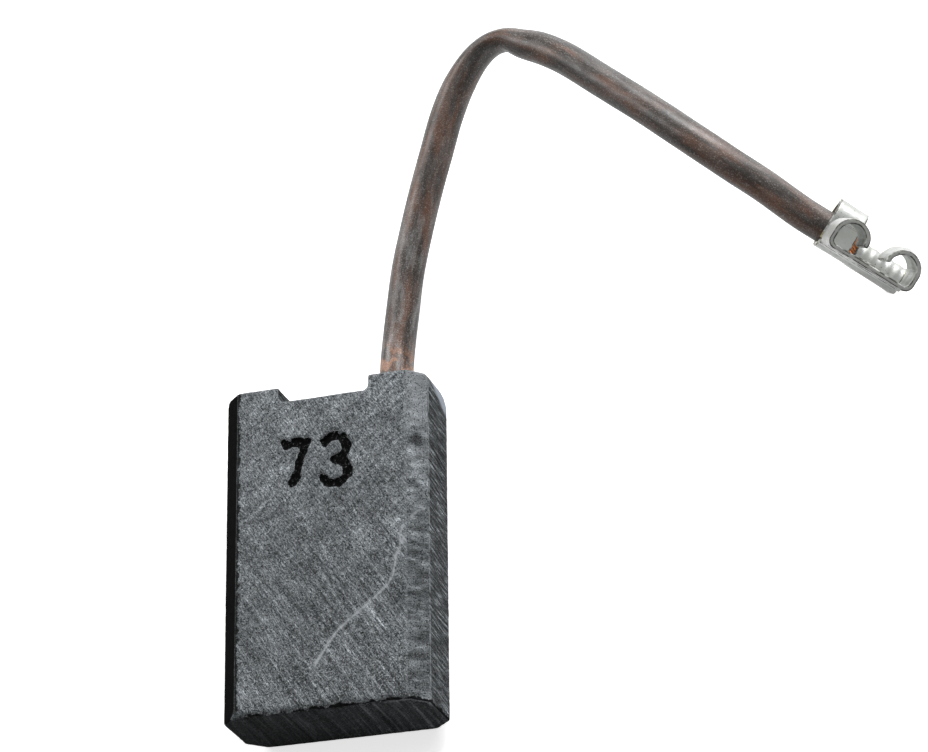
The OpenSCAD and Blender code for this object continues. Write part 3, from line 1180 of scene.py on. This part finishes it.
    def wire_tree(self) -> bpy.types.NodeTree:
        """Build the tree that lays wires round a centreline.

        Returns:
            The geometry tree, with the strand's sizes as its inputs.
        """
        bench, given, result = new_group(
            "laid_wires",
            {
                "Geometry": (Kind.GEOMETRY, None), "Wires": (Kind.INTEGER, 18),
                "Layer Radius": (Kind.FLOAT, 0.0007), "Wire Radius": (Kind.FLOAT, 0.0001),
                "Lay Length": (Kind.FLOAT, 0.013), "Step": (Kind.FLOAT, 0.0004),
                "Stray": (Kind.FLOAT, 0.00003), "Material": (Kind.MATERIAL, None),
            },
            {"Geometry": Kind.GEOMETRY},
            "GeometryNodeTree",
        )
        line = bench.add("GeometryNodeMeshToCurve", {"Mesh": given.outputs["Geometry"]}).outputs[0]
        line = bench.add("GeometryNodeResampleCurve", {"Curve": line, "Length": given.outputs["Step"]},
                         mode="LENGTH").outputs[0]
        many = bench.add("GeometryNodeDuplicateElements",
                         {"Geometry": line, "Amount": given.outputs["Wires"]}, domain="SPLINE")
        number = bench.add("GeometryNodeCaptureAttribute",
                           {"Geometry": many.outputs["Geometry"]}, domain="CURVE")
        number.capture_items.new("FLOAT", "number")
        bench.feed(number.inputs[1], many.outputs["Duplicate Index"])
        offset = self.wire_offset(bench, given, number.outputs[1])
        moved = bench.add("GeometryNodeSetPosition",
                          {"Geometry": number.outputs["Geometry"], "Offset": offset})
        ring = bench.add("GeometryNodeCurvePrimitiveCircle",
                         {"Resolution": 6, "Radius": given.outputs["Wire Radius"]}, mode="RADIUS")
        tube = bench.add("GeometryNodeCurveToMesh", {
            "Curve": moved.outputs[0], "Profile Curve": ring.outputs["Curve"], "Fill Caps": True})
        real = bench.add("GeometryNodeRealizeInstances", {"Geometry": tube.outputs[0]})
        dressed = bench.add("GeometryNodeSetMaterial",
                            {"Geometry": real.outputs[0], "Material": given.outputs["Material"]})
        bench.feed(result.inputs["Geometry"], dressed.outputs[0])
        return bench.tree

    def strand_mesh(self, finish: bpy.types.Material) -> bpy.types.Mesh:
        """Lay every layer of wires and join them.

        Args:
            finish: Material of the wires.

        Returns:
            One plain mesh of all the wires.
        """
        line = smooth_line(self.strand_route, self.ring_step)
        tree = self.wire_tree()
        keys = {item.name: item.identifier for item in tree.interface.items_tree
                if item.item_type == "SOCKET" and item.in_out == "INPUT"}
        joined = bmesh.new()
        for layer, wires in enumerate((1, *self.layers)):
            path = bpy.data.meshes.new("path")
            path.from_pydata((line * MM).tolist(), [(i, i + 1) for i in range(len(line) - 1)], [])
            carrier = bpy.data.objects.new("carrier", path)
            bpy.context.scene.collection.objects.link(carrier)
            laying = carrier.modifiers.new("laying", "NODES")
            laying.node_group = tree
            sizes = {
                "Wires": wires, "Layer Radius": 2 * self.wire_r * layer * MM, "Wire Radius": self.wire_r * MM,
                "Lay Length": self.lay_length * MM * (-1) ** layer, "Step": self.wire_step * MM,
                "Stray": (self.wire_stray if layer else 0.0) * MM, "Material": finish,
            }
            for name, value in sizes.items():
                laying[keys[name]] = value
            carrier.update_tag()
            evaluated = carrier.evaluated_get(bpy.context.evaluated_depsgraph_get())
            made = bpy.data.meshes.new_from_object(evaluated)
            joined.from_mesh(made)
            bpy.data.meshes.remove(made)
            bpy.data.objects.remove(carrier)
            bpy.data.meshes.remove(path)
        bmesh.ops.recalc_face_normals(joined, faces=joined.faces)
        mesh = bpy.data.meshes.new("strand")
        joined.to_mesh(mesh)
        joined.free()
        mesh.materials.clear()
        mesh.materials.append(finish)
        return mesh

    def build(self, effects: Effects, terminal: bpy.types.Object) -> None:
        """Args:
            effects: The shared shader groups.
            terminal: The receptacle on the lead's end; not used.
        """
        strand = add_object("strand_wires", self.strand_mesh(Copper().material(effects)))
        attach(strand, ROOT)
        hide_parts("copper_strand")
        line = smooth_line(self.sleeve_route, self.ring_step)
        sleeve = add_object("sleeve_tube", self.sleeve_mesh(line))
        sleeve.data.materials.append(Sleeve().material(effects))
        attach(sleeve, ROOT)
        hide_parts("insulating_sleeve")
        log.info("lead: %d sleeve faces, %d wire faces", len(sleeve.data.polygons), len(strand.data.polygons))


# ---------------------------------------------------------------- carbon block


@dataclass
class CarbonBlock:
    """Block with worn edges, a plain number stamped in its front and a long scratch. Sizes in mm."""

    voxel: float = 0.15
    front_z: float = 8.0
    run_y: float = -14.5
    lead_y: float = 14.5
    half_w: float = 9.0
    rounding: int = 6
    softened: tuple[float, float] = (0.15, 0.50)
    run_lean: tuple[float, float] = (0.20, 0.008)
    horn_rise: float = 0.10
    chip: Triple = (0.5, 1.6, 4.0)
    stamp_depth: float = 0.28
    stamp_half_w: float = 0.40
    stamp_soft: float = 0.12
    scratches: tuple[tuple[tuple[tuple[float, float], ...], float], ...] = (
        (((7.3, -0.6), (7.0, -1.5), (6.6, -2.2), (6.5, -3.2), (6.3, -3.9), (5.8, -4.7), (4.3, -6.0),
          (2.9, -7.0), (1.5, -8.1), (0.8, -9.0), (0.2, -9.9), (-0.5, -10.9)), 0.07),
        (((7.8, 1.1), (8.2, 1.8), (8.7, 2.2)), 0.05),
        (((7.2, 0.3), (6.9, -0.5), (7.1, -1.2)), 0.05),
    )

    def __post_init__(self) -> None:
        """Draw the unevenness of the wear."""
        self.coarse, self.fine = Lattice(3), Lattice(4)

    @staticmethod
    def arc(centre: tuple[float, float], radius: float,
            start: float, end: float) -> list[tuple[float, float]]:
        """Return points of an arc, from one angle to another, in degrees."""
        angles = np.radians(np.linspace(start, end, 12))
        return [(centre[0] + radius * math.cos(a), centre[1] + radius * math.sin(a)) for a in angles]

    def digits(self) -> list[list[tuple[float, float]]]:
        """Draw the stamped number.

        Returns:
            The corners of its strokes, in mm on the front face.
        """
        seven = [(-3.3, 9.25), (-1.35, 9.25), (-2.5, 5.6)]
        three = self.arc((1.2, 8.35), 1.02, 150, -90) + self.arc((1.2, 6.2), 1.13, 90, -150)
        return [seven, three]

    @staticmethod
    def distance(points: np.ndarray, stroke: list[tuple[float, float]]) -> np.ndarray:
        """Return how far points are from a stroke, seen from the front.

        Args:
            points: Places, in mm.
            stroke: The stroke's corners.

        Returns:
            One distance a place.
        """
        nearest = np.full(len(points), np.inf)
        flat = points[:, :2]
        for a, b in zip(np.array(stroke[:-1]), np.array(stroke[1:])):
            square = max(float((b - a) @ (b - a)), TINY)
            part = np.clip(((flat - a) @ (b - a)) / square, 0.0, 1.0)
            nearest = np.minimum(nearest, np.linalg.norm(flat - a - part[:, None] * (b - a), axis=1))
        return nearest

    def stamp(self, points: np.ndarray) -> np.ndarray:
        """Find how deep in the stamped number each place lies.

        Args:
            points: Places, in mm.

        Returns:
            One value a place, from 0 to 1.
        """
        stamped = np.zeros(len(points))
        low, high = self.stamp_half_w + self.stamp_soft, self.stamp_half_w - self.stamp_soft
        for stroke in self.digits():
            gap = self.distance(points, stroke)
            gap = gap + 0.15 * self.fine.at(points, 0.4) + 0.09 * self.coarse.at(points, 0.22)
            stamped = np.maximum(stamped, step(gap, low, high))
        return stamped * step(points[:, 2], self.front_z - 0.1, self.front_z - 0.02)

    def scratched(self, points: np.ndarray) -> np.ndarray:
        """Find how deep in a scratch each place lies.

        Args:
            points: Places, in mm.

        Returns:
            One value a place, from 0 to 1.
        """
        scratch = np.zeros(len(points))
        for line, half_w in self.scratches:
            gap = self.distance(points, line) + 0.06 * self.fine.at(points, 0.6)
            scratch = np.maximum(scratch, step(gap, half_w + 0.12, half_w - 0.06))
        return scratch * step(points[:, 2], self.front_z - 1.8, self.front_z - 1.2)

    def edge_highlight(self, points: np.ndarray, pull: np.ndarray) -> np.ndarray:
        """Find where a painted highlight runs along the edge between the right flat and the side.

        Args:
            points: Places, in mm.
            pull: How rounding the edges would move them.

        Returns:
            One value a place, from 0 to 1.
        """
        highlight_ridge = step(np.linalg.norm(pull, axis=1), 0.015, 0.035) * step(points[:, 0], 5.0, 6.0)
        below_front = step(points[:, 2], self.front_z - 2.4, self.front_z - 2.0)
        return highlight_ridge * (below_front * step(points[:, 2], 8.4, 7.2))

    def crumbling(self, points: np.ndarray) -> np.ndarray:
        """Find where the edge of the run face has crumbled.

        Args:
            points: Places, in mm.

        Returns:
            One value a place, from 0 to 1.
        """
        to_run_edge = np.hypot(points[:, 1] - self.run_y, points[:, 2] - self.front_z)
        patches = self.fine.at(points, 0.55) + 0.6 * self.coarse.at(points, 2.5)
        return step(to_run_edge, 0.75, 0.30) * step(patches, -0.1, 0.4)

    def worn(self, mesh: bpy.types.Mesh) -> None:
        """Round the edges, roughen the faces, chip the run edge and press the stamp.

        Args:
            mesh: The block's even mesh, changed in place.
        """
        points, normals, edges = read_mesh(mesh)
        pull = relaxed(points, edges, self.rounding) - points
        patch = 0.5 + 0.5 * self.coarse.at(points, 1.3)
        share = self.softened[0] + self.softened[1] * patch
        shape = points + pull * share[:, None]
        shape += pull * (1.6 * self.crumbling(points))[:, None]
        stamped = self.stamp(points)
        rough = 0.010 * self.fine.at(points, 0.3) + 0.008 * self.fine.at(points + 7.0, 0.17)
        depth = stamped * (self.stamp_depth + 0.09 * self.fine.at(points, 0.28))
        shape += normals * (rough - depth)[:, None]
        lean = self.run_lean[0] + self.run_lean[1] * points[:, 0]
        shape[:, 1] -= lean * step(points[:, 1], self.run_y + 2.0, self.run_y)
        shape[:, 1] += self.horn_rise * step(points[:, 1], self.lead_y - 1.0, self.lead_y)
        corner = np.array([self.half_w, self.lead_y, 0.0])
        from_corner = (np.abs(corner - points) / np.array(self.chip)).sum(axis=1)
        write_mesh(mesh, shape, {
            "stamped": stamped,
            "fresh": step(from_corner, 1.75, 1.45),
            "scratch": self.scratched(points),
            "highlight_ridge": self.edge_highlight(points, pull),
        })

    def build(self, effects: Effects) -> None:
        """Make the block and dress the tamping.

        Args:
            effects: The shared shader groups.
        """
        mesh = remeshed(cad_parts["carbon_block"].data, self.voxel * MM)
        self.worn(mesh)
        block = add_object("worn_block", mesh)
        block.data.materials.clear()
        block.data.materials.append(Carbon().material(effects))
        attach(block, ROOT)
        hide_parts("carbon_block")
        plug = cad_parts["tamping_plug"]
        plug.data.materials.clear()
        plug.data.materials.append(Tamping().material(effects))
        log.info("carbon block: %d faces", len(mesh.polygons))


# ---------------------------------------------------------------- flag receptacle


@dataclass
class FlagReceptacle:
    """Folded sheet terminal with soft pressed edges. Sizes in mm, in the terminal's own frame."""

    place: TerminalPlace
    voxel: float = 0.08
    mouth_x: float = 12.0
    inner_x: float = 4.5
    barrel_l: float = 7.7
    crimp_y: float = 3.2
    rounding: int = 4
    edge_reach: float = 0.02
    wave_height: float = 0.03
    rib_pitch: float = 0.75
    rib_height: float = 0.022
    curl_lean: Triple = (0.0, -0.32, 0.45)

    def pressed(self, mesh: bpy.types.Mesh) -> None:
        """Soften the edges, wave the sheet, press the crimp's ribs and lean the right curl outward.

        Args:
            mesh: The receptacle's even mesh, in its own frame, changed in place.
        """
        points, normals, edges = read_mesh(mesh)
        x, y, z = points.T
        wavy, fine = Lattice(21), Lattice(22)
        pull = relaxed(points, edges, self.rounding) - points
        waves = self.wave_height * wavy.at(points, 2.2) + 0.008 * fine.at(points, 0.5)
        sway = 0.5 * wavy.at(points + 9.0, 2.6) * self.wave_height
        on_crimp = step(y, self.crimp_y + 0.2, self.crimp_y + 0.6) * step(x, 1.6, 1.2) * step(z, -1.2, -0.7)
        ribs = self.rib_height * np.cos(2.0 * math.pi * (y - self.crimp_y) / self.rib_pitch) * on_crimp
        shape = points + 0.8 * pull + np.stack([0.5 * waves, sway, waves], axis=1) + normals * ribs[:, None]
        top = z.max()
        lean = step(z, top - 2.1, top - 0.2) * step(y, 4.0, 4.5) * step(x, self.inner_x - 0.1, self.inner_x)
        lean *= step(x, self.mouth_x + 0.1, self.mouth_x - 1.6)
        shape += lean[:, None] * np.array(self.curl_lean)
        cut = step(np.minimum(np.abs(x - self.mouth_x), np.abs(x - self.inner_x)), 0.12, 0.04)
        ends = step(np.minimum(np.abs(y), np.abs(y - self.barrel_l)), 0.12, 0.04) * (x < self.inner_x)
        write_mesh(mesh, shape, {
            "edge": np.clip(np.linalg.norm(pull, axis=1) / self.edge_reach, 0.0, 1.0),
            "cut": np.maximum(cut, ends),
            "brassy": ends * step(wavy.at(points, 0.7), 0.0, 0.35),
        })

    def build(self, effects: Effects) -> bpy.types.Object:
        """Make the receptacle.

        Args:
            effects: The shared shader groups.

        Returns:
            The new piece.
        """
        place = Matrix.Scale(MM, 4) @ self.place.matrix() @ Matrix.Scale(1.0 / MM, 4)
        mesh = remeshed(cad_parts["flag_terminal"].data, self.voxel * MM, place.inverted())
        self.pressed(mesh)
        mesh.transform(place)
        mesh.update()
        terminal = add_object("pressed_terminal", mesh)
        terminal.data.materials.clear()
        terminal.data.materials.append(TinnedBrass().material(effects))
        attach(terminal, ROOT)
        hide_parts("flag_terminal")
        log.info("receptacle: %d faces", len(mesh.polygons))
        return terminal


# ---------------------------------------------------------------- studio


@dataclass(frozen=True)
class Lamp:
    """One soft area lamp: where it stands round the aim, its width and its power."""

    name: str
    azimuth: float
    elevation: float
    distance: float
    width: float
    power: float


@dataclass
class Studio:
    """Camera, soft lamps, pale floor and surroundings. Sizes in metres, angles in degrees."""

    azimuth: float = 33.84
    elevation: float = 60.04
    roll: float = -38.49
    stand: Triple = (0.10553, -0.12537, 0.29723)
    lens: float = 155.17
    aim: Triple = (0.020, 0.012, 0.006)
    floor_half: float = 1.5
    around: float = 0.22
    glow: float = 0.65
    lamps: tuple[Lamp, ...] = (
        Lamp("key_lamp", 160.0, 38.0, 0.45, 0.26, 2.2),
        Lamp("low_lamp", 142.0, 15.0, 0.55, 0.26, 0.9),
        Lamp("side_lamp", 250.0, 38.0, 0.50, 0.24, 1.0),
    )

    @staticmethod
    def direction(azimuth: float, elevation: float) -> Vector:
        """Return the way from the aim to something at an azimuth and an elevation."""
        a, e = math.radians(azimuth), math.radians(elevation)
        return Vector((math.sin(a) * math.cos(e), -math.cos(a) * math.cos(e), math.sin(e)))

    def add_camera(self) -> None:
        """Stand the camera."""
        back = self.direction(self.azimuth, self.elevation)
        level = Vector((math.cos(math.radians(self.azimuth)), math.sin(math.radians(self.azimuth)), 0.0))
        upright = back.cross(level)
        roll = math.radians(self.roll)
        right = level * math.cos(roll) + upright * math.sin(roll)
        up = upright * math.cos(roll) - level * math.sin(roll)
        camera = bpy.data.objects.new("camera", bpy.data.cameras.new("camera"))
        bpy.context.scene.collection.objects.link(camera)
        camera.data.lens = self.lens
        camera.data.clip_start = 0.01
        camera.matrix_world = Matrix.Translation(self.stand) @ Matrix((right, up, back)).transposed().to_4x4()
        bpy.context.scene.camera = camera

    def add_lamps(self) -> None:
        """Hang the lamps, each turned to the aim."""
        for lamp in self.lamps:
            light = bpy.data.lights.new(lamp.name, "AREA")
            light.shape = "DISK"
            light.size = lamp.width
            light.energy = lamp.power
            holder = bpy.data.objects.new(lamp.name, light)
            way = self.direction(lamp.azimuth, lamp.elevation)
            holder.location = Vector(self.aim) + way * lamp.distance
            holder.rotation_euler = way.to_track_quat("Z", "Y").to_euler()
            bpy.context.scene.collection.objects.link(holder)

    def add_world(self) -> None:
        """Light the surroundings evenly, and show them white."""
        world = bpy.data.worlds.new("surroundings")
        world.use_nodes = True
        bpy.context.scene.world = world
        bench = NodeBench(world.node_tree)
        paths = bench.add("ShaderNodeLightPath")
        seen = bench.math("MAXIMUM", paths.outputs["Is Camera Ray"], paths.outputs["Is Transmission Ray"])
        strength = bench.math("ADD", self.around, bench.times(seen, 1.0 - self.around))
        background = world.node_tree.nodes["Background"]
        background.inputs["Color"].default_value = (1.0, 1.0, 1.0, 1.0)
        bench.feed(background.inputs["Strength"], strength)

    def add_floor(self) -> None:
        """Lay the pale floor."""
        mesh = bpy.data.meshes.new("floor")
        half = self.floor_half
        corners = [(-half, -half, 0), (half, -half, 0), (half, half, 0), (-half, half, 0)]
        mesh.from_pydata(corners, [], [(0, 1, 2, 3)])
        material, bench, shader = new_material("pale_floor")
        shader.inputs["Base Color"].default_value = (0.86, 0.86, 0.86, 1.0)
        shader.inputs["Roughness"].default_value = 0.9
        shader.inputs["Specular IOR Level"].default_value = 0.1
        shader.inputs["Emission Color"].default_value = (1.0, 1.0, 1.0, 1.0)
        seen = bench.add("ShaderNodeLightPath").outputs["Is Camera Ray"]
        bench.feed(shader.inputs["Emission Strength"], bench.times(seen, self.glow))
        mesh.materials.append(material)
        add_object("floor", mesh, smooth=False)

    def build(self) -> None:
        """Set up everything that stands round the brush."""
        self.add_camera()
        self.add_lamps()
        self.add_world()
        self.add_floor()
        bpy.context.scene.view_settings.view_transform = "Standard"


# ---------------------------------------------------------------- making


def main() -> None:
    """Build the studio, then the brush from its lead to its block."""
    logging.basicConfig(level=logging.INFO, format="%(name)s: %(message)s")
    Studio().build()
    effects = Effects()
    place = TerminalPlace()
    terminal = FlagReceptacle(place).build(effects)
    Lead(place).build(effects, terminal)
    CarbonBlock().build(effects)


if __name__ == "__main__":
    main()
